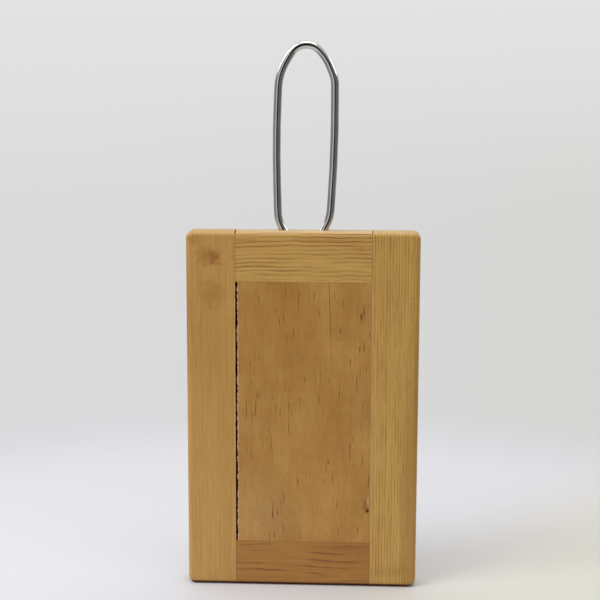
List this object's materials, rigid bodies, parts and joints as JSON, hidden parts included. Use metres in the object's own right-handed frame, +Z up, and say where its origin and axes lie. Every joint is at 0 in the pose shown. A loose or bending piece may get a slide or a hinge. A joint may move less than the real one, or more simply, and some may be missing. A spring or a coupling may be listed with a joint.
{
  "type": "mortar hawk",
  "caption": "Small wooden mortar hawk: a rectangular framed board with a flush panel and a bent steel wire loop handle rising from one short edge.",
  "frame": {"origin": "middle of the short edge that the board stands on, at mid-thickness", "axes": "+X across the board to the right as seen from the working face, +Y out of the back face, +Z up towards the wire handle"},
  "size_m": [0.179, 0.019, 0.4224],
  "materials": {
    "left_pine": "planed pine, oiled by use, with a knot near the top",
    "right_pine": "planed pine with fine straight grain",
    "top_pine": "planed pine with wavy grain along the rail",
    "red_pine": "redder, darker planed pine with wavy grain",
    "brown_panel": "open-pored brown hardwood with short dark flecks",
    "beech": "plain beech dowel",
    "steel": "bright drawn steel wire, lightly polished"
  },
  "bodies": {
    "root": {"left_stile": "left_pine", "right_stile": "right_pine", "top_rail": "top_pine", "bottom_rail": "red_pine", "panel": "brown_panel", "dowel_top_left_1": "beech", "dowel_top_left_2": "beech", "dowel_top_right_1": "beech", "dowel_top_right_2": "beech", "dowel_bottom_left_1": "beech", "dowel_bottom_left_2": "beech", "dowel_bottom_right_1": "beech", "dowel_bottom_right_2": "beech", "wire_handle": "steel", "handle_pin_left": "steel", "handle_pin_right": "steel"}
  },
  "joints": []
}
